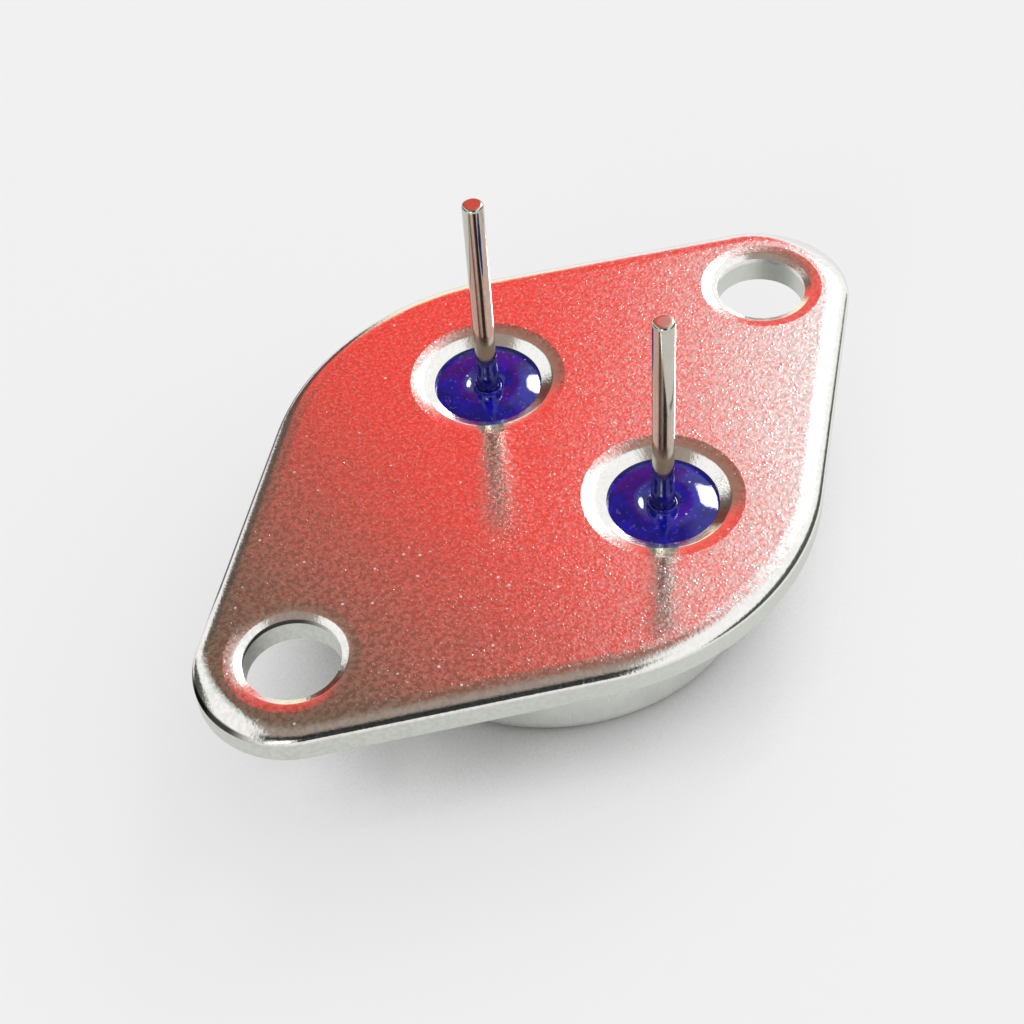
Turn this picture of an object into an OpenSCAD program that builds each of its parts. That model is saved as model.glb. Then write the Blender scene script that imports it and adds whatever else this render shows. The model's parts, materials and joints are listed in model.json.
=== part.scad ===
// Power transistor in a two-lead metal can with a diamond-shaped mounting plate.
//
// The part lies on its can with the leads up. The origin is the centre of the plate's seating
// face, midway between the two mounting holes. +X runs along the long axis, towards the mounting
// hole that the leads are nearer to, +Y towards the base lead, and +Z the way the leads point.
// All lengths are in millimetres.

/* [Header plate] */
// Distance between the centres of the two mounting holes
hole_spacing = 30.15; // [29.6:0.05:30.8]
// Diameter of each mounting hole
hole_d = 4.2; // [3.8:0.05:4.6]
// Radius of the plate's two rounded ends
end_r = 4.2; // [3.9:0.05:4.8]
// Radius of the plate's wide middle
middle_r = 12.5; // [12:0.1:13.3]
// Thickness of the plate
plate_t = 1.55; // [1.3:0.05:2.4]
// Width of the rounding that stamping leaves round the plate's rim
rim_roll_w = 0.65; // [0.2:0.05:0.9]
// Depth of the rounding round the plate's rim
rim_roll_d = 0.45; // [0.2:0.05:0.7]
// Width of the rounding at the mouth of each mounting hole
hole_roll_w = 0.6; // [0.1:0.05:0.9]
// Depth of the rounding at the mouth of each mounting hole
hole_roll_d = 0.35; // [0.1:0.05:0.45]
// Chamfer round the plate's other face, on the can side
back_break = 0.15; // [0.05:0.05:0.3]

/* [Leads] */
// Distance between the centres of the two leads
lead_spacing = 10.92; // [10.7:0.02:11.2]
// Distance from the plate's centre to the line through both leads
lead_offset = 1.9; // [1.4:0.05:2.1]
// Diameter of the free length of each lead
lead_d = 0.97; // [0.8:0.01:1.09]
// Diameter of each lead where the glass grips it
lead_root_d = 1.05; // [0.9:0.01:1.2]
// How far each lead stands out of the seating face
lead_out = 10.4; // [8:0.1:12.7]
// Height above the seating face where a lead's thicker root starts to taper
root_top = 0.2; // [0:0.05:0.4]
// Length of the taper from the root to the free lead
root_taper = 0.65; // [0.6:0.05:1]
// Chamfer at the tip of each lead
tip_break = 0.08; // [0.02:0.01:0.2]
// Diameter of the flattened post head at the inner end of each lead
post_head_d = 2; // [1.6:0.05:2.6]
// Thickness of the post head
post_head_t = 0.35; // [0.2:0.05:0.6]

/* [Glass seals] */
// Diameter of each glass seal
seal_d = 5; // [4.2:0.1:5.4]
// Depth of the glass below the seating face
seal_recess = 0.45; // [0.2:0.05:0.7]
// Width of the drawn-in dish between the seating face and the glass
dish_w = 1.15; // [0.5:0.05:1.3]
// Radius of the curve where the glass climbs the lead
meniscus_r = 0.35; // [0.1:0.05:0.6]
// Gap left between the glass and the metal that it is fused to
fuse_gap = 0.01; // [0.005:0.005:0.03]

/* [Can] */
// Height from the seating face to the top of the can
overall_h = 7.8; // [7:0.1:8.9]
// Outside diameter of the can's wall
can_d = 19.5; // [18.6:0.1:20]
// Thickness of the can's sheet
can_wall = 0.5; // [0.3:0.05:0.8]
// Outside diameter of the can's welding brim
brim_d = 21.9; // [21.4:0.1:22.2]
// Thickness of the welding brim
brim_t = 0.6; // [0.4:0.05:0.9]
// Outside radius of the can's top edge
can_corner_r = 1; // [0.9:0.1:1.6]
// Radius between the can's wall and its brim
can_root_r = 0.4; // [0.2:0.05:0.6]
// Chamfer round the edge of the brim
brim_break = 0.1; // [0.05:0.05:0.2]

/* [Chip and heat spreader] */
// Distance from the plate's centre to the middle of the heat spreader, away from the leads
spreader_offset = 3.2; // [3.2:0.1:3.6]
// Diameter of the copper heat spreader
spreader_d = 9.2; // [6.6:0.1:9.3]
// Thickness of the heat spreader
spreader_t = 1.3; // [0.8:0.1:1.6]
// Chamfer round the heat spreader's free face
spreader_break = 0.2; // [0.05:0.05:0.4]
// Thickness of the braze under the heat spreader
braze_t = 0.08; // [0.05:0.01:0.15]
// How far the braze stays inside the heat spreader's edge
braze_margin = 0.1; // [0.05:0.05:0.4]
// Side of the square silicon chip
chip_w = 4.2; // [3:0.1:4.4]
// Thickness of the chip
chip_t = 0.3; // [0.2:0.02:0.4]
// Thickness of the solder under the chip
solder_t = 0.08; // [0.04:0.01:0.12]
// How far the solder reaches past the chip's edge
solder_margin = 0.15; // [0.05:0.05:0.2]

/* [Bond wires] */
// Diameter of each aluminium bond wire
wire_d = 0.38; // [0.2:0.01:0.4]
// Height of each wire's loop, from the bonded faces to the middle of the wire
loop_h = 1.3; // [0.8:0.1:1.6]
// Length of the flattened foot at each end of a wire
foot_l = 0.9; // [0.6:0.05:1]
// Width of a flattened foot
foot_w = 0.56; // [0.45:0.01:0.6]
// Thickness of a flattened foot
foot_t = 0.16; // [0.08:0.01:0.2]
// Distance from the chip's centre lines to the middle of each foot on the chip
pad_inset = 1.1; // [0.8:0.05:1.3]
// Distance between the two emitter wires
wire_pitch = 0.74; // [0.7:0.02:0.9]

/* [Hidden] */

// Segments of a full circle on round surfaces
$fn = 96;
// Segments of a full circle on the plate's rounded outline
outline_fn = 64;
// Straight steps that stand for each rounded corner of a turned section
corner_steps = 8;
// How far a cutting tool reaches past the surface that it opens
reach = 1;

hole_x = hole_spacing / 2;
lead_y = lead_spacing / 2;
base_at = [lead_offset, lead_y];
emitter_at = [lead_offset, -lead_y];
chip_at = [-spreader_offset, 0];

// Levels, from the seating face at zero down into the can
plate_back_z = -plate_t;
spreader_back_z = plate_back_z - braze_t;
spreader_face_z = spreader_back_z - spreader_t;
chip_back_z = spreader_face_z - solder_t;
chip_face_z = chip_back_z - chip_t;
can_top_z = -overall_h;

// Points on an arc about centre, from angle a0 to angle a1
function arc(centre, r, a0, a1, steps = corner_steps) =
    [for (i = [0:steps]) let (a = a0 + (a1 - a0) * i / steps) centre + r * [cos(a), sin(a)]];

// Points on a quarter of an ellipse about centre, with half-widths w and d, from angle a0 to a1
function quarter(centre, w, d, a0, a1) =
    [for (p = arc([0, 0], 1, a0, a1)) centre + [w * p.x, d * p.y]];

// Stamped disc with a rolled rim on the seating side and a small chamfer on the can side
module stamped_disc(r) {
    rotate_extrude($fn = outline_fn)
        polygon(concat(
            [[0, plate_back_z], [r - back_break, plate_back_z], [r, plate_back_z + back_break]],
            quarter([r - rim_roll_w, -rim_roll_d], rim_roll_w, rim_roll_d, 0, 90),
            [[0, 0]]
        ));
}

// Tool that rolls in the seating face round a hole of radius r
module mouth_tool(r, w, d) {
    rotate_extrude()
        polygon(concat(
            [[0, reach], [0, -d]],
            quarter([r + w, -d], w, d, 180, 90),
            [[r + w, reach]]
        ));
}

// Tool for a round hole through the plate
module hole_tool(r) {
    translate([0, 0, plate_back_z - reach])
        cylinder(r = r, h = plate_t + 2 * reach);
}

module header_plate() {
    color("silver")
        difference() {
            hull() {
                stamped_disc(middle_r);
                for (x = [-hole_x, hole_x])
                    translate([x, 0, 0])
                        stamped_disc(end_r);
            }
            for (x = [-hole_x, hole_x])
                translate([x, 0, 0]) {
                    hole_tool(hole_d / 2);
                    mouth_tool(hole_d / 2, hole_roll_w, hole_roll_d);
                }
            for (at = [base_at, emitter_at])
                translate([at.x, at.y, 0]) {
                    hole_tool(seal_d / 2);
                    mouth_tool(seal_d / 2, dish_w, seal_recess);
                }
        }
}

// Glass bead fused between the plate and a lead
module seal(at) {
    inner_r = lead_root_d / 2 + fuse_gap;
    outer_r = seal_d / 2 - fuse_gap;
    glass_z = -seal_recess;
    color("mediumblue")
        translate([at.x, at.y, 0])
            rotate_extrude()
                polygon(concat(
                    [[inner_r, plate_back_z], [outer_r, plate_back_z], [outer_r, glass_z]],
                    arc([inner_r + meniscus_r, glass_z + meniscus_r], meniscus_r, 270, 180)
                ));
}

// Round lead with a flattened post head inside the can
module lead(at) {
    lead_r = lead_d / 2;
    root_r = lead_root_d / 2;
    head_r = post_head_d / 2;
    color("gainsboro")
        translate([at.x, at.y, 0])
            rotate_extrude()
                polygon([
                    [0, chip_face_z],
                    [head_r, chip_face_z],
                    [head_r, chip_face_z + post_head_t],
                    [root_r, chip_face_z + post_head_t],
                    [root_r, root_top],
                    [lead_r, root_top + root_taper],
                    [lead_r, lead_out - tip_break],
                    [lead_r - tip_break, lead_out],
                    [0, lead_out],
                ]);
}

// Drawn can with a welding brim that lies on the back of the plate
module can() {
    wall_r = can_d / 2;
    inner_r = wall_r - can_wall;
    brim_r = brim_d / 2;
    brim_z = plate_back_z - brim_t;
    inner_corner_r = can_corner_r - can_wall;
    corner_z = can_top_z + can_corner_r;
    color("lightgray")
        rotate_extrude()
            polygon(concat(
                [[0, can_top_z]],
                arc([wall_r - can_corner_r, corner_z], can_corner_r, -90, 0),
                arc([wall_r + can_root_r, brim_z - can_root_r], can_root_r, 180, 90),
                [
                    [brim_r - brim_break, brim_z],
                    [brim_r, brim_z + brim_break],
                    [brim_r, plate_back_z - brim_break],
                    [brim_r - brim_break, plate_back_z],
                ],
                arc([inner_r + can_root_r, plate_back_z - can_root_r], can_root_r, 90, 180),
                arc([wall_r - can_corner_r, corner_z], inner_corner_r, 0, -90),
                [[0, can_top_z + can_wall]]
            ));
}

// Copper disc that carries the heat from the chip into the plate
module heat_spreader() {
    r = spreader_d / 2;
    color("peru")
        translate([chip_at.x, chip_at.y, 0])
            rotate_extrude()
                polygon([
                    [0, spreader_face_z],
                    [r - spreader_break, spreader_face_z],
                    [r, spreader_face_z + spreader_break],
                    [r, spreader_back_z],
                    [0, spreader_back_z],
                ]);
}

module spreader_braze() {
    color("khaki")
        translate([chip_at.x, chip_at.y, spreader_back_z])
            cylinder(d = spreader_d - 2 * braze_margin, h = braze_t);
}

module chip_solder() {
    w = chip_w + 2 * solder_margin;
    color("darkgray")
        translate([chip_at.x - w / 2, chip_at.y - w / 2, chip_back_z])
            cube([w, w, solder_t]);
}

module silicon_chip() {
    color("slategray")
        translate([chip_at.x - chip_w / 2, chip_at.y - chip_w / 2, chip_face_z])
            cube([chip_w, chip_w, chip_t]);
}

// Flattened foot of a bond wire, centred on the bonded face and standing towards -Z
module wire_foot() {
    r = foot_w / 2;
    half = foot_l / 2 - r;
    translate([0, 0, -foot_t])
        linear_extrude(height = foot_t)
            polygon(concat(arc([half, 0], r, -90, 90), arc([-half, 0], r, 90, 270)));
}

// Round wire that loops from one point of the bonded plane to another
module bond_wire(from, to) {
    run = to - from;
    span = norm(run);
    loop_r = (span * span / 4 + loop_h * loop_h) / (2 * loop_h);
    color("whitesmoke")
        translate([from.x, from.y, chip_face_z])
            rotate([0, 0, atan2(run.y, run.x)]) {
                intersection() {
                    translate([span / 2, 0, loop_r - loop_h])
                        rotate([90, 0, 0])
                            rotate_extrude()
                                translate([loop_r, 0])
                                    circle(d = wire_d);
                    translate([-wire_d, -wire_d, -loop_h - wire_d])
                        cube([span + 2 * wire_d, 2 * wire_d, loop_h + wire_d]);
                }
                for (x = [0, span])
                    translate([x, 0, 0])
                        wire_foot();
            }
}

// Emitter wire beside the line from the chip to the emitter's post, shifted sideways by shift
module emitter_wire(shift) {
    pad = chip_at + [pad_inset, -pad_inset];
    run = emitter_at - pad;
    side = [-run.y, run.x] / norm(run);
    bond_wire(pad + shift * side, emitter_at + shift * side);
}

module base_seal() { seal(base_at); }
module emitter_seal() { seal(emitter_at); }
module base_lead() { lead(base_at); }
module emitter_lead() { lead(emitter_at); }
module base_wire() { bond_wire(chip_at + [pad_inset, pad_inset], base_at); }
module emitter_wire_inner() { emitter_wire(-wire_pitch / 2); }
module emitter_wire_outer() { emitter_wire(wire_pitch / 2); }

header_plate();
base_seal();
emitter_seal();
base_lead();
emitter_lead();
can();
spreader_braze();
heat_spreader();
chip_solder();
silicon_chip();
base_wire();
emitter_wire_inner();
emitter_wire_outer();
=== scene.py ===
"""Looks of the power transistor: finer meshes, materials, studio and camera round the frame.

The frame is in metres. Sizes here are in millimetres, and MM turns them into metres where a mesh,
a material or the camera is made.
"""
import json
import math
from collections import namedtuple

import bpy
from mathutils import Matrix, Vector
from mathutils.geometry import delaunay_2d_cdt


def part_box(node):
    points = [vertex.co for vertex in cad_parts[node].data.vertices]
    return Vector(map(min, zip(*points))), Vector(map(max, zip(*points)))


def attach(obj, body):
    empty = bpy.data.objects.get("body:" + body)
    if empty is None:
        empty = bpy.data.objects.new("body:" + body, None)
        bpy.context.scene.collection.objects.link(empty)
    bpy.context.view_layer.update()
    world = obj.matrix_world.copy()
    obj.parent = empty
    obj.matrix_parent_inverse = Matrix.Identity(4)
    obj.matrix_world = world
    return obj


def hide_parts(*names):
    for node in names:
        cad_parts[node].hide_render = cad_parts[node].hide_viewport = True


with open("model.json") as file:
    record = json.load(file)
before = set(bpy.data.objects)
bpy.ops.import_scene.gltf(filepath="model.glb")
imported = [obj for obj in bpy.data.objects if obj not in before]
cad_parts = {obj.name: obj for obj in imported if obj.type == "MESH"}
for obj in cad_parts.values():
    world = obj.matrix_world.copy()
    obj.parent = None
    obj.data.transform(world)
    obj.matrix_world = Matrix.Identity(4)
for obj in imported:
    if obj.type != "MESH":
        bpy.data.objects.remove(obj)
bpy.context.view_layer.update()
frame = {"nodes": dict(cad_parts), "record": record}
MM = 0.001

# ---------------------------------------------------------------------------------------------
# Sizes that the frame gives
# ---------------------------------------------------------------------------------------------


def box_mm(node):
    """Lowest and highest corner of a CAD node, in millimetres."""
    low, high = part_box(node)
    return low / MM, high / MM


def mount_dims(name):
    """Dimensions that the record states for one mount."""
    return next(m["dims"] for m in frame["record"]["mounts"] if m["name"] == name)


PLATE_LOW, PLATE_HIGH = box_mm("header_plate")
SEAL_HIGH = box_mm("base_seal")[1]
LEAD_LOW, LEAD_HIGH = box_mm("base_lead")
CAN_LOW, CAN_HIGH = box_mm("can")
EMITTER_LOW, EMITTER_HIGH = box_mm("emitter_lead")
BASE_AT = (LEAD_LOW + LEAD_HIGH) / 2
EMITTER_AT = (EMITTER_LOW + EMITTER_HIGH) / 2

HOLE_X = mount_dims("mounting_holes")["spacing_x_mm"] / 2
HOLE_R = mount_dims("mounting_holes")["hole_r_mm"]
LEAD_R = mount_dims("base_lead_end")["r_mm"]
END_R = PLATE_HIGH.x - HOLE_X
MIDDLE_R = PLATE_HIGH.y
PLATE_BACK = PLATE_LOW.z
SEAL_R = SEAL_HIGH.y - BASE_AT.y
HEAD_R = LEAD_HIGH.y - BASE_AT.y
LEAD_TOP = LEAD_HIGH.z
LEAD_INNER_END = LEAD_LOW.z
CAN_TOP = CAN_LOW.z
BRIM_R = CAN_HIGH.x

# ---------------------------------------------------------------------------------------------
# Sizes that the boxes don't give. A name in _R is a radius, _T a thickness, and a break is the
# small radius on an edge.
# ---------------------------------------------------------------------------------------------
Mouth = namedtuple("Mouth", "shoulder_w shoulder_d flank_w flank_d")

ROLL_W = 1.08
ROLL_D = 0.45
TIP_CHAMFER = 0.75
HOLE_MOUTH = Mouth(0.48, 0.08, 0.30, 0.13)
DISH = Mouth(0.60, 0.12, 0.52, 0.29)
DISH_WALL = 0.16
SHOULDER_CURVE = 0.15
BACK_BREAK = 0.15

FUSE_GAP = 0.01
GLASS_CROWN = 0.20
GLASS_LEAN = 0.7
GLASS_CLIMB = 0.10

ROOT_R = 0.525
ROOT_TOP = 0.2
ROOT_TAPER = 0.65
TIP_BREAK = 0.13
HEAD_T = 0.35
HEAD_BREAK = 0.05

CAN_WALL_R = 9.75
CAN_SHEET = 0.5
CAN_CORNER_R = 1.0
CAN_ROOT_R = 0.4
BRIM_T = 0.6
BRIM_BREAK = 0.1

# ---------------------------------------------------------------------------------------------
# Mesh building
# ---------------------------------------------------------------------------------------------
FULL_TURN = 2 * math.pi
SHARP_ANGLE = math.radians(33)
ON_AXIS = 1e-6
SAME_POINT = 1e-7
BOX_SLACK = 0.001

# Steps round or along the curves
ROUND_STEPS = 160
END_STEPS = 44
MIDDLE_STEPS = 56
ROLL_STEPS = 14
FLANK_STEPS = 10
GLASS_STEPS = 28
CLIMB_STEPS = 6
TAPER_STEPS = 6
FILLET_STEPS = 8
BREAK_STEPS = 5

# Guards: an extra ring this far from an edge keeps the smooth shading close to the edge
FACE_GUARD = 0.06
MOUTH_GUARD = 0.02
WALL_GUARD = 0.04
FLANK_GUARD = 0.03
SHANK_GUARD = 0.05
TIP_GUARD = 0.1
FLAT_GUARD = 0.2

# Heights of the rings that divide the long straight walls
ROOT_RINGS = (-1.6, -0.5)
SHANK_RINGS = (2, 4, 6, 8)
CAN_RINGS = (-6, -5, -4, -3)
INNER_RINGS = (-3, -5)


def arc(r, z, size, start, end, steps):
    """Points on an arc about the point (r, z), from start to end in degrees. The size is the
    arc's radius, or its two half-axes."""
    size_r, size_z = size if isinstance(size, tuple) else (size, size)
    points = []
    for i in range(steps + 1):
        a = math.radians(start + (end - start) * i / steps)
        points.append((r + size_r * math.cos(a), z + size_z * math.sin(a)))
    return points


def add_piece(name, points, faces, material, node):
    """Makes a smooth mesh piece that stands for one CAD node."""
    mesh = bpy.data.meshes.new(name)
    mesh.from_pydata([Vector(p) * MM for p in points], [], faces)
    mesh.materials.append(material)
    mesh.polygons.foreach_set("use_smooth", [True] * len(mesh.polygons))
    mesh.set_sharp_from_angle(angle=SHARP_ANGLE)
    mesh.validate()
    mesh.update()
    piece = bpy.data.objects.new(name, mesh)
    bpy.context.scene.collection.objects.link(piece)
    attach(piece, "root")
    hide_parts(node)


def turned(name, profile, centre, material, node, closed=False):
    """Turns the (r, z) profile about a vertical axis through centre. An open profile starts and
    ends on the axis."""
    points = []
    rings = []
    for r, z in profile:
        first = len(points)
        if r < ON_AXIS:
            points.append((centre.x, centre.y, z))
            rings.append([first] * ROUND_STEPS)
            continue
        for i in range(ROUND_STEPS):
            a = FULL_TURN * i / ROUND_STEPS
            points.append((centre.x + r * math.cos(a), centre.y + r * math.sin(a), z))
        rings.append(list(range(first, first + ROUND_STEPS)))
    pairs = list(zip(rings, rings[1:]))
    if closed:
        pairs.append((rings[-1], rings[0]))
    faces = []
    for low, high in pairs:
        for i in range(ROUND_STEPS):
            j = (i + 1) % ROUND_STEPS
            corners = [low[i], low[j], high[j], high[i]]
            faces.append(list(dict.fromkeys(corners)))
    add_piece(name, points, faces, material, node)


def outline_samples():
    """The plate's outline as (axis x, radius, angle, tip): a point at offset d is x + (radius - d)
    along the angle, and tip rises from 0 on the long sides to 1 at the two narrow tips. Straight
    sides run between the samples at the ends of two arcs."""
    tangent = math.acos((MIDDLE_R - END_R) / HOLE_X)
    arcs = [
        (HOLE_X, END_R, -tangent, tangent, END_STEPS),
        (0, MIDDLE_R, tangent, math.pi - tangent, MIDDLE_STEPS),
        (-HOLE_X, END_R, math.pi - tangent, math.pi + tangent, END_STEPS),
        (0, MIDDLE_R, math.pi + tangent, FULL_TURN - tangent, MIDDLE_STEPS),
    ]
    samples = []
    for x, r, start, end, steps in arcs:
        for i in range(steps + 1):
            tip = 0 if x == 0 else math.sin(math.pi * i / steps) ** 2
            samples.append((x, r, start + (end - start) * i / steps, tip))
    return samples


class PlateMesh:
    """Collects the points and faces of the plate as rings that join into bands."""

    def __init__(self):
        self.points = []
        self.faces = []

    def ring(self, flat_points, z):
        """Adds points at height z and gives their indices."""
        first = len(self.points)
        self.points.extend((x, y, z) for x, y in flat_points)
        return list(range(first, len(self.points)))

    def band(self, upper, lower):
        """Quads between two rings of as many points, the upper one seen first from outside."""
        count = len(upper)
        for i in range(count):
            j = (i + 1) % count
            self.faces.append((upper[i], lower[i], lower[j], upper[j]))

    def cap(self, outer, holes, facing_up):
        """Flat face inside the outer ring and outside the holes."""
        loops = [outer] + holes
        index = [i for loop in loops for i in loop]
        flat = [Vector(self.points[i][:2]) for i in index]
        edges = []
        first = 0
        for loop in loops:
            count = len(loop)
            edges += [(first + i, first + (i + 1) % count) for i in range(count)]
            first += count
        hole_loops = [[Vector(self.points[i][:2]) for i in hole] for hole in holes]
        made = delaunay_2d_cdt(flat, edges, [], 0, SAME_POINT)
        made_faces, from_points = made[2], made[3]
        for face in made_faces:
            triangle = [from_points[corner][0] for corner in face]
            middle = sum((flat[i] for i in triangle), Vector((0, 0))) / 3
            if not self.inside(middle, flat[:len(outer)]):
                continue
            if any(self.inside(middle, loop) for loop in hole_loops):
                continue
            a, b, c = (flat[i] for i in triangle)
            counter_clockwise = (b - a).cross(c - a) > 0
            corners = [index[i] for i in triangle]
            if counter_clockwise != facing_up:
                corners.reverse()
            self.faces.append(tuple(corners))

    @staticmethod
    def inside(point, loop):
        """Whether the flat point lies inside the closed loop."""
        crossed = False
        for a, b in zip(loop, loop[1:] + loop[:1]):
            if (a.y > point.y) != (b.y > point.y):
                if point.x < a.x + (b.x - a.x) * (point.y - a.y) / (b.y - a.y):
                    crossed = not crossed
        return crossed


def circle(x, y, r):
    """Flat points round a circle."""
    turns = [FULL_TURN * i / ROUND_STEPS for i in range(ROUND_STEPS)]
    return [(x + r * math.cos(a), y + r * math.sin(a)) for a in turns]


def mouth_section(r, mouth):
    """Section of a drawn-in mouth, from the face down to the wall of the hole of radius r: a
    shoulder with a slight slope, then a steeper flank."""
    points = []
    for i in range(ROLL_STEPS + 1):
        share = i / ROLL_STEPS
        drop = (1 - SHOULDER_CURVE) * share + SHOULDER_CURVE * share ** 3
        points.append((r + mouth.flank_w + mouth.shoulder_w * (1 - share),
                       -mouth.shoulder_d * drop))
    for i in range(1, FLANK_STEPS + 1):
        share = i / FLANK_STEPS
        points.append((r + mouth.flank_w * (1 - share),
                       -mouth.shoulder_d - mouth.flank_d * share))
    return points


def build_plate(material):
    """The stamped plate: rolled rim, rolled screw holes and the two drawn-in dishes."""
    samples = outline_samples()
    mesh = PlateMesh()

    def rim(offset, z):
        """One ring of the rim. On the long sides the roll is round, at the tips nearly straight."""
        chamfer = ROLL_W * (1 + z / ROLL_D)
        flat = []
        for x, r, a, tip in samples:
            share = TIP_CHAMFER * tip if -ROLL_D < z < 0 else 0
            inner_r = r - offset - (chamfer - offset) * share
            flat.append((x + inner_r * math.cos(a), inner_r * math.sin(a)))
        return mesh.ring(flat, z)

    roll = arc(0, -ROLL_D, (ROLL_W, ROLL_D), 90, 0, ROLL_STEPS)
    back_edge = arc(0, PLATE_BACK + BACK_BREAK, BACK_BREAK, 0, -90, BREAK_STEPS)
    section = [(ROLL_W + FACE_GUARD, 0)]
    section += [(ROLL_W - r, z) for r, z in roll]
    section += [(0, PLATE_BACK + BACK_BREAK + WALL_GUARD)]
    section += [(BACK_BREAK - r, z) for r, z in back_edge]
    section += [(BACK_BREAK + FACE_GUARD, PLATE_BACK)]
    rims = [rim(offset, z) for offset, z in section]
    for upper, lower in zip(rims, rims[1:]):
        mesh.band(upper, lower)

    top_holes = []
    back_holes = []
    mouths = [(x, 0, HOLE_R, HOLE_MOUTH) for x in (-HOLE_X, HOLE_X)]
    mouths += [(at.x, at.y, SEAL_R + FUSE_GAP, DISH) for at in (BASE_AT, EMITTER_AT)]
    for x, y, r, mouth in mouths:
        drawn = mouth_section(r, mouth)
        mouth_r = drawn[0][0]
        mouth_z = drawn[-1][1]
        section = [(mouth_r + MOUTH_GUARD, 0)] + drawn
        section += [(r, z) for z in (mouth_z - FLANK_GUARD, PLATE_BACK + WALL_GUARD, PLATE_BACK)]
        section += [(r + FACE_GUARD, PLATE_BACK)]
        rings = [mesh.ring(circle(x, y, ring_r), z) for ring_r, z in section]
        for upper, lower in zip(rings, rings[1:]):
            mesh.band(lower, upper)
        top_holes.append(rings[0])
        back_holes.append(rings[-1])
    mesh.cap(rims[0], top_holes, True)
    mesh.cap(rims[-1], back_holes, False)
    add_piece("mounting_plate", mesh.points, mesh.faces, material,
              "header_plate")


def build_glass(name, at, node, material):
    """Glass bead: a domed ring, highest nearer to the lead than to the plate, which dips to the
    lead's foot and climbs it a little."""
    inner_r = ROOT_R + FUSE_GAP
    foot_r = inner_r + GLASS_CLIMB
    level = -DISH.shoulder_d - DISH.flank_d - DISH_WALL
    profile = [(inner_r, PLATE_BACK), (SEAL_R, PLATE_BACK), (SEAL_R, level)]
    for i in range(1, GLASS_STEPS + 1):
        share = 1 - i / GLASS_STEPS
        rise = GLASS_CROWN * math.sin(math.pi * share ** GLASS_LEAN)
        profile.append((foot_r + (SEAL_R - foot_r) * share, level + rise))
    profile += arc(foot_r, level + GLASS_CLIMB, GLASS_CLIMB, 270, 180, CLIMB_STEPS)[1:]
    assert max(z for r, z in profile) <= SEAL_HIGH.z + BOX_SLACK
    turned(name, profile, at, material, node, closed=True)


def build_lead(name, at, node, material):
    """Round lead with a thicker root, a cut tip and the post head inside the can."""
    head_top = LEAD_INNER_END + HEAD_T
    profile = [(0, LEAD_INNER_END), (HEAD_R - HEAD_BREAK, LEAD_INNER_END)]
    profile += [(HEAD_R, LEAD_INNER_END + HEAD_BREAK), (HEAD_R, head_top)]
    profile += [(ROOT_R, z) for z in (head_top, *ROOT_RINGS, ROOT_TOP)]
    for i in range(1, TAPER_STEPS + 1):
        share = i / TAPER_STEPS
        ease = share * share * (3 - 2 * share)
        profile.append((ROOT_R + (LEAD_R - ROOT_R) * ease, ROOT_TOP + ROOT_TAPER * share))
    shank_top = LEAD_TOP - TIP_BREAK
    tip_r = LEAD_R - TIP_BREAK
    profile += [(LEAD_R, z) for z in (*SHANK_RINGS, shank_top - SHANK_GUARD)]
    profile += arc(tip_r, shank_top, TIP_BREAK, 0, 90, BREAK_STEPS)
    profile += [(tip_r - TIP_GUARD, LEAD_TOP), (0, LEAD_TOP)]
    turned(name, profile, at, material, node)


def build_can(material):
    """Drawn can with its welding brim, upside down as the part lies: from the middle of its top
    out, up the wall, round the brim and back along the inside."""
    inner_r = CAN_WALL_R - CAN_SHEET
    corner_r = CAN_WALL_R - CAN_CORNER_R
    corner_z = CAN_TOP + CAN_CORNER_R
    brim_z = PLATE_BACK - BRIM_T
    edge_r = BRIM_R - BRIM_BREAK
    profile = [(r, CAN_TOP) for r in (0, corner_r / 2, corner_r - FLAT_GUARD)]
    profile += arc(corner_r, corner_z, CAN_CORNER_R, -90, 0, ROLL_STEPS)
    profile += [(CAN_WALL_R, z) for z in CAN_RINGS]
    profile += arc(CAN_WALL_R + CAN_ROOT_R, brim_z - CAN_ROOT_R, CAN_ROOT_R,
                   180, 90, FILLET_STEPS)
    profile += arc(edge_r, brim_z + BRIM_BREAK, BRIM_BREAK, -90, 0, BREAK_STEPS)
    profile += arc(edge_r, PLATE_BACK - BRIM_BREAK, BRIM_BREAK, 0, 90, BREAK_STEPS)
    profile += arc(inner_r + CAN_ROOT_R, PLATE_BACK - CAN_ROOT_R, CAN_ROOT_R,
                   90, 180, FILLET_STEPS)
    profile += [(inner_r, z) for z in INNER_RINGS]
    profile += arc(corner_r, corner_z, CAN_CORNER_R - CAN_SHEET, 0, -90, FILLET_STEPS)
    profile += [(0, CAN_TOP + CAN_SHEET)]
    turned("can_shell", profile, Vector((0, 0, 0)), material, "can")


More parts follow.
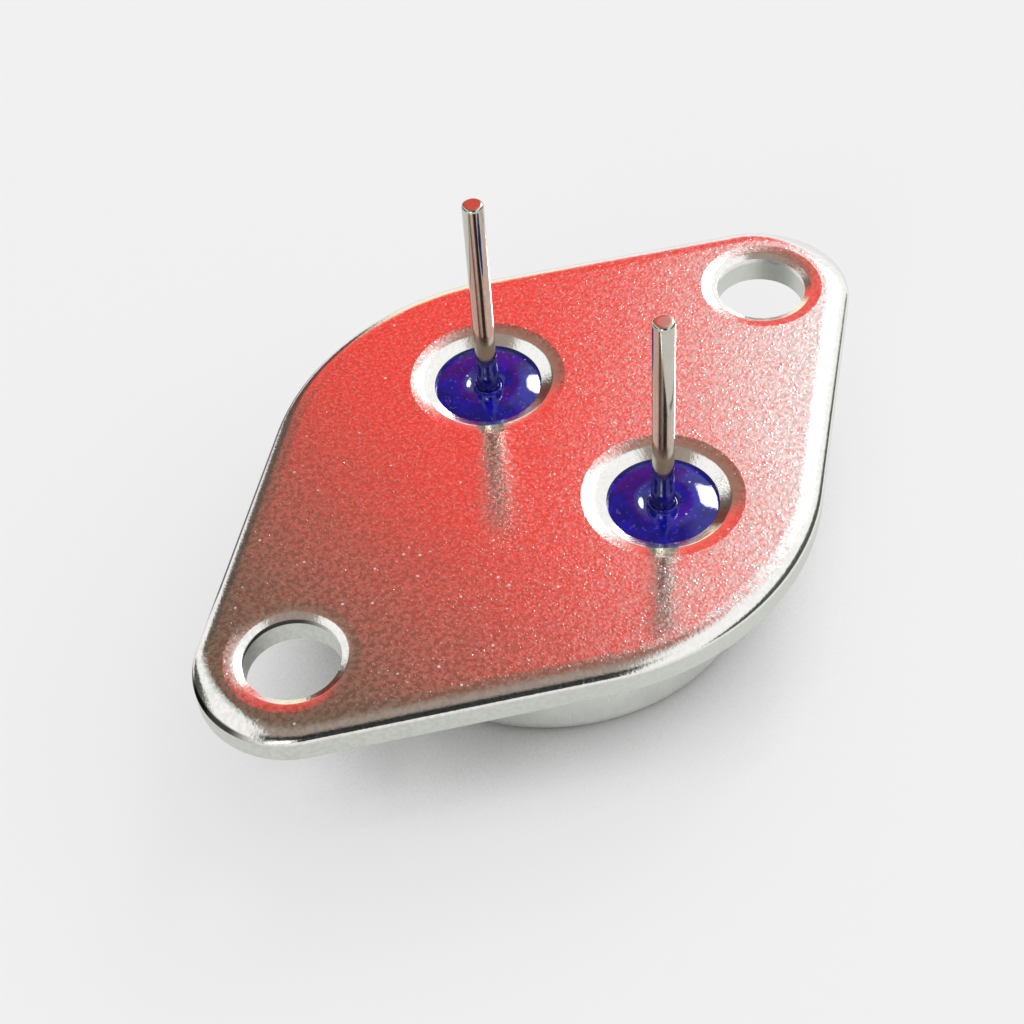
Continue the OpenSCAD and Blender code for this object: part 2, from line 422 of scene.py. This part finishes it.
# ---------------------------------------------------------------------------------------------
# Materials
# ---------------------------------------------------------------------------------------------
class Shader:
    """Short names for the nodes that the materials are made of."""

    def __init__(self, name):
        self.material = bpy.data.materials.new(name)
        self.material.use_nodes = True
        self.tree = self.material.node_tree
        self.tree.nodes.clear()
        self.surface = self.node("ShaderNodeBsdfPrincipled")
        self.link(self.surface.outputs[0], self.node("ShaderNodeOutputMaterial").inputs["Surface"])
        place = self.node("ShaderNodeTexCoord").outputs["Object"]
        self.place = self.vector("MULTIPLY", place, (1 / MM,) * 3)

    def node(self, kind, **settings):
        made = self.tree.nodes.new(kind)
        for key, value in settings.items():
            setattr(made, key, value)
        return made

    def link(self, source, target):
        self.tree.links.new(source, target)

    def feed(self, socket, value):
        """Sets a socket to a constant or links it to another socket."""
        if isinstance(value, bpy.types.NodeSocket):
            self.link(value, socket)
        elif socket.type == "RGBA" and len(value) == 3:
            socket.default_value = (*value, 1)
        else:
            socket.default_value = value

    def math(self, operation, a, b=0.0, c=0.0):
        made = self.node("ShaderNodeMath", operation=operation)
        for socket, value in zip(made.inputs, (a, b, c)):
            self.feed(socket, value)
        return made.outputs[0]

    def vector(self, operation, a, b):
        made = self.node("ShaderNodeVectorMath", operation=operation)
        self.feed(made.inputs[0], a)
        self.feed(made.inputs[1], b)
        return made.outputs["Value" if operation == "DOT_PRODUCT" else "Vector"]

    def split(self, value):
        return self.node_fed("ShaderNodeSeparateXYZ", value).outputs

    def node_fed(self, kind, value):
        made = self.node(kind)
        self.feed(made.inputs[0], value)
        return made

    def ramp(self, value, low, high, low_out=0.0, high_out=1.0):
        """Smooth step from low_out at low to high_out at high."""
        made = self.node("ShaderNodeMapRange", interpolation_type="SMOOTHSTEP")
        for socket, number in zip(made.inputs, (value, low, high, low_out, high_out)):
            self.feed(socket, number)
        return made.outputs[0]

    def product(self, *values):
        """All the values, or shares from 0 to 1, multiplied."""
        made = values[0]
        for value in values[1:]:
            made = self.math("MULTIPLY", made, value)
        return made

    def inside(self, *edges):
        """Share that is 1 where each soft edge (value, start, full) has been passed."""
        return self.product(*[self.ramp(*edge) for edge in edges])

    def mix(self, share, a, b):
        """Colour a where share is 0, colour b where it is 1."""
        made = self.node("ShaderNodeMix", data_type="RGBA")
        self.feed(made.inputs[0], share)
        self.feed(made.inputs[6], a)
        self.feed(made.inputs[7], b)
        return made.outputs[2]

    def noise(self, scale, detail=2.0, roughness=0.5, stretch=(1, 1, 1), offset=(0, 0, 0)):
        """Noise of about 1/scale millimetres, from 0 to 1."""
        place = self.vector("MULTIPLY_ADD", self.place, stretch)
        place.node.inputs[2].default_value = offset
        made = self.node("ShaderNodeTexNoise")
        self.feed(made.inputs["Vector"], place)
        made.inputs["Scale"].default_value = scale
        made.inputs["Detail"].default_value = detail
        made.inputs["Roughness"].default_value = roughness
        return made.outputs[0]

    def cells(self, scale):
        """Cells of about 1/scale millimetres: a random Color each, and Distance from the middle."""
        made = self.node_fed("ShaderNodeTexVoronoi", self.place)
        made.inputs["Scale"].default_value = scale
        return made.outputs

    def specks(self, scale, radius, share):
        """Sparse round specks: 1 inside a speck. share is the part of the cells that hold one."""
        cell = self.cells(scale)
        chosen = self.math("LESS_THAN", self.split(cell["Color"])[0], share)
        dot = self.ramp(cell["Distance"], radius, radius * 0.4)
        return self.math("MULTIPLY", chosen, dot)

    def bump(self, height, strength, distance, under=None):
        """Normal of a relief, distance millimetres high, laid over the normal under it."""
        made = self.node("ShaderNodeBump")
        made.inputs["Strength"].default_value = strength
        made.inputs["Distance"].default_value = distance * MM
        self.feed(made.inputs["Height"], height)
        if under is not None:
            self.feed(made.inputs["Normal"], under)
        return made.outputs[0]

    def finish(self, **values):
        """Sets the surface's inputs, base_color for Base Color, and gives the material."""
        for name, value in values.items():
            socket = name.replace("_", " ").title().replace("Ior", "IOR")
            self.feed(self.surface.inputs[socket], value)
        return self.material


# Colours of the plate. FACE_RED, FACE_PINK, FACE_BROWN and FACE_DARK paint a reflection of the red
# board and the brown ceiling onto the seating face
NICKEL = (0.89, 0.88, 0.85)
EDGE_NICKEL = (0.68, 0.71, 0.65)
# Near-black of the painted shade line along the rim
DARK_RIM_LINE = (0.05, 0.047, 0.04)
GRIME = (0.30, 0.22, 0.18)
# White of the dust specks and of the painted glints
DUST_AND_GLINT = (0.95, 0.93, 0.91)
FACE_RED = (0.93, 0.45, 0.42)
FACE_PINK = (0.95, 0.86, 0.82)
FACE_BROWN = (0.80, 0.73, 0.68)
FACE_DARK = (0.55, 0.66, 0.60)
FACE_SILVER = (0.86, 0.845, 0.825)

# Where they change, each from its start to where it is full, in millimetres. Across is the
# distance from the middle towards the silver side, where the painted reflection fades to nickel.
SILVER_SIDE = (0.75, -0.66)
SILVER_ACROSS = (-2.0, 13.0)
BROWN_X = (-2.5, -14.5)
DARK_X = (-11.5, -16.0)
FACE_Z = (-0.10, -0.005)
WALL_Z = (-0.40, -0.50)
# Where the painted shade line along the rim lies
LINE_TOP_Z = (-0.19, -0.24)
LINE_FOOT_Z = (-0.52, -0.46)
LINE_ACROSS = (-9.0, -11.0)
LINE_Y = (-2.3, -0.6)
LINE_NARROW_X = (-14.5, -17.0)
LINE_NARROW_BY = 0.13
CLOUD_SWAY = 3.0
FLAKE_SWAY = 15.0

# Levels of the noise where they change, and how strong they get, as shares
FLAKE_SCALE = 5.5
PINK_GRAIN = (0.46, 0.66)
GRIME_GRIT = (0.38, 0.6)
GRIME_MOST = 0.24
GRIME_OFF_FACE = 0.3
GRIME_BROWN = 1.1
DUST_AND_GLINT_MOST = 0.75
WALL_ROUGHER = 0.22


def plate_colour(s, grain, grit, cloud):
    """Colour of the plate, and the share of it that is dust and painted glints. On the seating face
    a painted reflection is red in the middle, brown towards one end and fades to silver nickel
    towards one side, over an edge that flakes break up. Opposite the silver side a thin painted
    shade line follows the rim."""
    x, y, z = s.split(s.place)
    across = s.math("ADD", s.math("MULTIPLY", x, SILVER_SIDE[0]),
                    s.math("MULTIPLY", y, SILVER_SIDE[1]))
    along = s.math("MULTIPLY_ADD", s.math("SUBTRACT", cloud, 0.5), CLOUD_SWAY, x)
    flake = s.math("SUBTRACT", s.split(s.cells(FLAKE_SCALE)["Color"])[1], 0.5)
    on_face = s.ramp(z, *FACE_Z)
    brown = s.ramp(along, *BROWN_X)
    silver = s.ramp(s.math("MULTIPLY_ADD", flake, FLAKE_SWAY, across), *SILVER_ACROSS)

    # Painted reflection: red of the board mottled with pink, brown of the ceiling towards one end,
    # darker at the tip, silver nickel on one side
    painted_reflection = s.mix(s.ramp(grain, *PINK_GRAIN), FACE_RED, FACE_PINK)
    painted_reflection = s.mix(brown, painted_reflection, FACE_BROWN)
    painted_reflection = s.mix(s.ramp(along, *DARK_X), painted_reflection, FACE_DARK)
    painted_reflection = s.mix(silver, painted_reflection, FACE_SILVER)
    bare = s.mix(s.ramp(z, *WALL_Z), NICKEL, EDGE_NICKEL)
    colour = s.mix(on_face, bare, painted_reflection)

    grime = s.product(s.ramp(grit, *GRIME_GRIT, GRIME_MOST, 0.0),
                      s.math("MULTIPLY_ADD", on_face, 1 - GRIME_OFF_FACE, GRIME_OFF_FACE),
                      s.math("MULTIPLY_ADD", brown, GRIME_BROWN, 1.0))
    colour = s.mix(grime, colour, GRIME)

    # Painted shade: a near-black line on the rim's roll, opposite the silver side
    line_z = s.math("ADD", z, s.ramp(x, *LINE_NARROW_X, 0.0, LINE_NARROW_BY))
    line = s.inside((line_z, *LINE_TOP_Z), (z, *LINE_FOOT_Z),
                    (across, *LINE_ACROSS), (y, *LINE_Y))
    colour = s.mix(line, colour, DARK_RIM_LINE)

    # White specks: the coarse ones dust, the fine ones painted glints, denser on the silver side
    fine = s.product(s.specks(scale=5.9, radius=0.38, share=0.30),
                     s.math("MULTIPLY_ADD", silver, 0.5, 0.2))
    dust_and_glints = s.math("MAXIMUM", s.specks(scale=2.2, radius=0.20, share=0.16), fine)
    dust_and_glints = s.product(dust_and_glints, on_face, DUST_AND_GLINT_MOST)
    return s.mix(dust_and_glints, colour, DUST_AND_GLINT), dust_and_glints


def plate_material():
    """Gritty satin nickel, rougher on the walls, with raised grains on the seating face."""
    s = Shader("satin_nickel_plate")
    grain = s.noise(scale=7.0, detail=1.5, roughness=0.55)
    grit = s.noise(scale=4.3, roughness=0.6, offset=(11, 5, 3))
    cloud = s.noise(scale=0.35, offset=(3, 8, 1))
    colour, dust_and_glints = plate_colour(s, grain, grit, cloud)

    z = s.split(s.place)[2]
    rough = s.math("ADD", s.math("MULTIPLY_ADD", grit, 0.10, 0.09),
                   s.ramp(z, *WALL_Z, 0.0, WALL_ROUGHER))
    beads = s.math("ADD", s.specks(scale=4.3, radius=0.34, share=0.20),
                   s.specks(scale=6.5, radius=0.40, share=0.22))
    beads = s.product(beads, s.ramp(z, *FACE_Z))
    normal = s.bump(grain, strength=1.0, distance=0.006)
    normal = s.bump(beads, strength=1.0, distance=0.0035, under=normal)
    normal = s.bump(cloud, strength=0.25, distance=0.05, under=normal)
    # Dust and painted glints are matt white, not metal
    return s.finish(base_color=colour, metallic=s.math("SUBTRACT", 1.0, dust_and_glints),
                    roughness=rough, normal=normal)


# Colours of the plain metals
LEAD_NICKEL = (0.62, 0.605, 0.53)
CAN_NICKEL = (0.84, 0.87, 0.82)
BRAZE = (0.72, 0.62, 0.42)
COPPER = (0.75, 0.36, 0.22)
SOLDER = (0.55, 0.55, 0.56)
ALUMINIUM = (0.80, 0.80, 0.81)
DARKER = 0.8
ROUGH_SPREAD = 0.14


def plain_metal(name, colour, rough, grain_scale, stretch=(1, 1, 1), depth=0.006):
    """Plain metal, a little clouded, with a fine grain that can be stretched into draw marks."""
    s = Shader(name)
    grain = s.noise(grain_scale, detail=3.0, roughness=0.6, stretch=stretch)
    cloud = s.noise(scale=0.8, offset=(2, 2, 2))
    darker = tuple(c * DARKER for c in colour)
    base = s.mix(s.ramp(cloud, 0.3, 0.75, 0.0, 0.45), colour, darker)
    base = s.mix(s.ramp(grain, 0.3, 0.8, 0.0, 0.35), base, darker)
    roughness = s.math("MULTIPLY_ADD", grain, ROUGH_SPREAD, rough - ROUGH_SPREAD / 2)
    return s.finish(base_color=base, metallic=1.0, roughness=roughness,
                    normal=s.bump(grain, strength=0.3, distance=depth))


def glass_material():
    """Deep blue sealing glass with paler bloom and fine bubbles."""
    s = Shader("blue_sealing_glass")
    deep = (0.002, 0.004, 0.20)
    bright = (0.012, 0.008, 0.42)
    bloom = (0.16, 0.13, 0.55)
    bubble = (0.6, 0.62, 0.9)
    cloud = s.noise(scale=1.3, detail=3.0, roughness=0.6)
    fleck = s.noise(scale=5.0, offset=(4, 1, 9))
    base = s.mix(s.ramp(cloud, 0.40, 0.70), deep, bright)
    base = s.mix(s.ramp(fleck, 0.60, 0.74, 0.0, 0.5), base, bloom)
    base = s.mix(s.specks(scale=2.6, radius=0.2, share=0.12), base, bubble)
    return s.finish(base_color=base, metallic=0.0, roughness=0.06, ior=1.5,
                    normal=s.bump(cloud, strength=0.15, distance=0.04))


def silicon_material():
    """Dark polished silicon under the chip's pale, finely lined aluminium."""
    s = Shader("silicon")
    bare = (0.08, 0.09, 0.11)
    lined = (0.32, 0.34, 0.38)
    lines = s.noise(scale=12.0, detail=1.0, stretch=(6, 0.4, 1))
    base = s.mix(s.ramp(lines, 0.4, 0.6), bare, lined)
    return s.finish(base_color=base, metallic=0.7, roughness=0.18,
                    normal=s.bump(lines, strength=0.1, distance=0.01))


# ---------------------------------------------------------------------------------------------
# Studio and camera. Angles are in degrees. Azimuth 0 is in front of the part, at -Y, and 90 is
# at +X.
# ---------------------------------------------------------------------------------------------
CAMERA_AZIMUTH = -43.393
CAMERA_ELEVATION = 47.234
AIM_AZIMUTH = CAMERA_AZIMUTH + 1.507
AIM_ELEVATION = CAMERA_ELEVATION + 1.508
CAMERA_ROLL = -4.641
CAMERA_DISTANCE = 90
CAMERA_LENS = 70.61
SENSOR = 36
CLIP_NEAR = 1
CLIP_FAR = 10000

BACKGROUND = (0.871, 0.871, 0.871)
FLOOR_HALF = 2500
FLOOR_DROP = 0.02
FLOOR_TINTS = ((0.88, 0.88, 0.885), (0.90, 0.895, 0.90))
SEEN_FLOOR = (0.36, 0.36, 0.36)
FLOOR_GLOW = 0.555
CONTACT_REACH = 14
CONTACT_SAMPLES = 4
CONTACT_OPEN = (0.28, 0.52)

KEY_AT = (108, 39.5)
FRONT_AT = (-65, 28)
WINDOW_AT = (73, 48)
SOFTBOX_EDGE = (0.989, 0.993)
SOFTBOX_GLARE = (19, 19, 19)
PLAIN_DIM = 0.22
PLAIN_BRIGHT = 1.30


def back_direction(azimuth, elevation):
    """Unit vector from the part towards a viewer at that azimuth and elevation."""
    a = math.radians(azimuth)
    e = math.radians(elevation)
    return Vector((math.sin(a) * math.cos(e), -math.cos(a) * math.cos(e), math.sin(e)))


def right_direction(azimuth):
    """Level unit vector to the right of a viewer at that azimuth."""
    a = math.radians(azimuth)
    return Vector((math.cos(a), math.sin(a), 0))


def add_camera():
    """Camera at the photo's place and angle. It aims a little past the part."""
    back = back_direction(AIM_AZIMUTH, AIM_ELEVATION)
    right = right_direction(AIM_AZIMUTH)
    up = back.cross(right)
    c = math.cos(math.radians(CAMERA_ROLL))
    s = math.sin(math.radians(CAMERA_ROLL))
    rolled_right = c * right + s * up
    rolled_up = c * up - s * right
    turn = Matrix((rolled_right, rolled_up, back)).transposed()
    place = back_direction(CAMERA_AZIMUTH, CAMERA_ELEVATION) * CAMERA_DISTANCE * MM
    data = bpy.data.cameras.new("camera")
    data.lens = CAMERA_LENS
    data.sensor_width = SENSOR
    data.clip_start = CLIP_NEAR * MM
    data.clip_end = CLIP_FAR * MM
    camera = bpy.data.objects.new("camera", data)
    camera.matrix_world = Matrix.Translation(place) @ turn.to_4x4()
    bpy.context.scene.collection.objects.link(camera)
    bpy.context.scene.camera = camera


def add_floor():
    """Plain pale floor just under the can's top, which the part lies on. To the camera and in
    reflections it glows, except close to the part, where it is left in shadow."""
    half = FLOOR_HALF * MM
    z = (CAN_TOP - FLOOR_DROP) * MM
    mesh = bpy.data.meshes.new("floor")
    mesh.from_pydata([(-half, -half, z), (half, -half, z), (half, half, z), (-half, half, z)],
                     [], [(0, 1, 2, 3)])
    s = Shader("pale_floor")
    base = s.mix(s.noise(scale=0.5), *FLOOR_TINTS)
    path = s.node("ShaderNodeLightPath")
    seen = s.math("MAXIMUM", path.outputs["Is Camera Ray"], path.outputs["Is Glossy Ray"])
    base = s.mix(seen, base, SEEN_FLOOR)
    nearby = s.node("ShaderNodeAmbientOcclusion", samples=CONTACT_SAMPLES)
    nearby.inputs["Distance"].default_value = CONTACT_REACH * MM
    glow = s.product(s.ramp(nearby.outputs["AO"], *CONTACT_OPEN, 0.0, FLOOR_GLOW), seen)
    s.finish(base_color=base, roughness=0.9, specular_ior_level=0.0,
             emission_strength=glow, emission_color=(1, 1, 1))
    mesh.materials.append(s.material)
    floor = bpy.data.objects.new("floor", mesh)
    bpy.context.scene.collection.objects.link(floor)


class WorldShader(Shader):
    """The same helpers on the world's node tree, with the direction of view as the place."""

    def __init__(self):
        world = bpy.data.worlds.new("studio")
        bpy.context.scene.world = world
        world.use_nodes = True
        self.material = world
        self.tree = world.node_tree
        self.tree.nodes.clear()
        self.surface = self.node("ShaderNodeBackground")
        self.link(self.surface.outputs[0], self.node("ShaderNodeOutputWorld").inputs["Surface"])
        self.place = self.node("ShaderNodeTexCoord").outputs["Generated"]


# The room that reflections see. Turn is the angle from the viewer's horizon over the zenith, and
# across runs from -1 at the viewer's left to 1 at the right. An edge goes from its start to where
# it is full.
ROOM_LOW = (0.96, 0.96, 0.89)
ROOM_HIGH = (1.04, 1.04, 1.04)
VIEWER_BLACK = (0.02, 0.025, 0.025)
CEILING_NEAR = (0.36, 0.29, 0.25)
CEILING_FAR = (0.36, 0.19, 0.145)
BOARD_RED = (1.02, 0.14, 0.12)
FLAG_GREY = (0.08, 0.085, 0.075)
FLAG_EDGE = (0.76, 0.82)
ROOM_TURN = (0, 30)
VIEWER_TURN = (78, 62)
CEILING_TURN = (94, 112)

# The board begins where BOARD_TURN * turn + BOARD_ACROSS * across comes near BOARD_FROM, over a
# soft BOARD_EDGE. Its edge runs level left of BOARD_LEVEL and has a small step.
BOARD_TURN = 1.18
BOARD_ACROSS = 64
BOARD_FROM = 157
BOARD_LEVEL = -0.30
BOARD_STEP = (-0.09, -0.16)
BOARD_STEP_BY = -4.5
BOARD_EDGE = (-13, -4)

# The dim part's edges: its two ends in turn, its left edge, which comes in overhead, and its
# right edge, which comes in twice and then slants
NEAR_END = (10, 20)
FAR_END = (170, 160)
OVERHEAD_START = (66, 82)
OVERHEAD_STOP = (134, 124)
LEFT_EDGE = (-0.62, -0.50)
LEFT_OVERHEAD = (-0.50, -0.40)
RIGHT_NEAR = (0.44, 0.32)
RIGHT_MIDDLE = (0.32, 0.20)
RIGHT_FAR = (0.175, 0.005)
MIDDLE_START = (64, 84)
FAR_START = (110, 126)
SLANT_START = 136
SLANT = 0.008

Patch = namedtuple("Patch", "colour across turn")
PATCHES = {
    "gap behind the board": Patch((1.08, 1.06, 0.82), [(0.0, -0.06), (-0.34, -0.26)], [(157, 163)]),
    "dark corner": Patch((0.12, 0.10, 0.08), [(-0.62, -0.56), (-0.34, -0.42)], [(132, 142)]),
    "pane": Patch((1.04, 1.04, 0.96), [(-0.56, -0.48), (0.0, -0.16)], [(14, 22), (51, 41)]),
    "niche": Patch((0.16, 0.05, 0.04), [(-0.60, -0.52), (-0.22, -0.30)], [(156, 164)]),
}


def dim_colour(s, across, turn):
    """Black towards the viewer, brown overhead, and a deep red board whose edge slants across."""
    colour = s.mix(s.ramp(turn, *VIEWER_TURN), CEILING_NEAR, VIEWER_BLACK)
    colour = s.mix(s.ramp(turn, *CEILING_TURN), colour, CEILING_FAR)
    board = s.math("MULTIPLY", s.math("MAXIMUM", across, BOARD_LEVEL), BOARD_ACROSS)
    board = s.math("ADD", board, s.ramp(across, *BOARD_STEP, 0.0, BOARD_STEP_BY))
    board = s.math("ADD", board, s.math("MULTIPLY_ADD", turn, BOARD_TURN, -BOARD_FROM))
    return s.mix(s.ramp(board, *BOARD_EDGE), colour, BOARD_RED)


def dim_share(s, across, turn):
    """Share of the view that the viewer, the ceiling and the board take from the pale room."""
    overhead = s.inside((turn, *OVERHEAD_START), (turn, *OVERHEAD_STOP))
    left = s.mix(overhead, s.ramp(across, *LEFT_EDGE), s.ramp(across, *LEFT_OVERHEAD))
    right = s.mix(s.ramp(turn, *MIDDLE_START),
                  s.ramp(across, *RIGHT_NEAR), s.ramp(across, *RIGHT_MIDDLE))
    beyond = s.math("MAXIMUM", s.math("SUBTRACT", turn, SLANT_START), 0)
    slanted = s.math("MULTIPLY_ADD", beyond, -SLANT, across)
    right = s.mix(s.ramp(turn, *FAR_START), right, s.ramp(slanted, *RIGHT_FAR))
    ends = s.inside((turn, *NEAR_END), (turn, *FAR_END))
    return s.product(left, right, ends)


def add_world():
    """Reflections see a pale room with a brown ceiling, a deep red board, a few smaller patches
    and a small bright softbox. Matt surfaces see a plain white room, brightest towards the
    window, and the camera sees the plain background."""
    s = WorldShader()
    across = s.vector("DOT_PRODUCT", s.place, right_direction(CAMERA_AZIMUTH))
    towards = s.vector("DOT_PRODUCT", s.place, back_direction(CAMERA_AZIMUTH, 0))
    height = s.split(s.place)[2]
    turn = s.math("DEGREES", s.math("ARCTAN2", height, towards))

    colour = s.mix(s.ramp(turn, *ROOM_TURN), ROOM_LOW, ROOM_HIGH)
    colour = s.mix(dim_share(s, across, turn), colour, dim_colour(s, across, turn))
    for patch in PATCHES.values():
        edges = [(across, *edge) for edge in patch.across]
        edges += [(turn, *edge) for edge in patch.turn]
        colour = s.mix(s.inside(*edges), colour, patch.colour)
    colour = s.mix(s.ramp(s.math("ABSOLUTE", across), *FLAG_EDGE), colour, FLAG_GREY)
    softbox = s.vector("DOT_PRODUCT", s.place, back_direction(*KEY_AT))
    colour = s.mix(s.ramp(softbox, *SOFTBOX_EDGE), colour, SOFTBOX_GLARE)

    window = s.vector("DOT_PRODUCT", s.place, back_direction(*WINDOW_AT))
    plain = s.ramp(window, 0.0, 1.0, PLAIN_DIM, PLAIN_BRIGHT)
    path = s.node("ShaderNodeLightPath")
    colour = s.mix(path.outputs["Is Glossy Ray"], plain, colour)
    colour = s.mix(path.outputs["Is Camera Ray"], colour, BACKGROUND)
    s.finish(color=colour, strength=1.0)


def add_lamp(name, azimuth, elevation, spread, strength):
    """Far round lamp, as wide as spread."""
    data = bpy.data.lights.new(name, "SUN")
    data.angle = math.radians(spread)
    data.energy = strength
    lamp = bpy.data.objects.new(name, data)
    lamp.rotation_mode = "QUATERNION"
    lamp.rotation_quaternion = back_direction(azimuth, elevation).to_track_quat("Z", "Y")
    bpy.context.scene.collection.objects.link(lamp)


# ---------------------------------------------------------------------------------------------
# The part
# ---------------------------------------------------------------------------------------------
def dress_inner_pieces():
    """Materials of the CAD solids that stay: everything inside the can."""
    wire = plain_metal("aluminium_wire", ALUMINIUM, rough=0.3, grain_scale=14.0)
    finishes = {
        "spreader_braze": plain_metal("silver_braze", BRAZE, rough=0.35, grain_scale=6.0),
        "heat_spreader": plain_metal("machined_copper", COPPER, rough=0.3, grain_scale=5.0),
        "chip_solder": plain_metal("soft_solder", SOLDER, rough=0.35, grain_scale=4.0),
        "silicon_chip": silicon_material(),
        "base_wire": wire,
        "emitter_wire_inner": wire,
        "emitter_wire_outer": wire,
    }
    for name, material in finishes.items():
        for material_slot in frame["nodes"][name].material_slots:
            material_slot.material = material


def build_part():
    """The six outer pieces, and the looks of the inner ones."""
    glass = glass_material()
    lead = plain_metal("nickel_lead", LEAD_NICKEL, rough=0.09, grain_scale=10.0,
                       stretch=(1, 1, 0.08), depth=0.002)
    can = plain_metal("drawn_nickel_can", CAN_NICKEL, rough=0.3, grain_scale=7.0,
                      stretch=(1, 1, 0.15), depth=0.005)
    build_plate(plate_material())
    build_can(can)
    build_glass("base_glass", BASE_AT, "base_seal", glass)
    build_glass("emitter_glass", EMITTER_AT, "emitter_seal", glass)
    build_lead("base_pin", BASE_AT, "base_lead", lead)
    build_lead("emitter_pin", EMITTER_AT, "emitter_lead", lead)
    dress_inner_pieces()


bpy.context.scene.view_settings.view_transform = "Standard"
add_camera()
add_floor()
add_world()
add_lamp("front_lamp", *FRONT_AT, spread=14, strength=0.28)
add_lamp("key_lamp", *KEY_AT, spread=16, strength=0.25)
build_part()
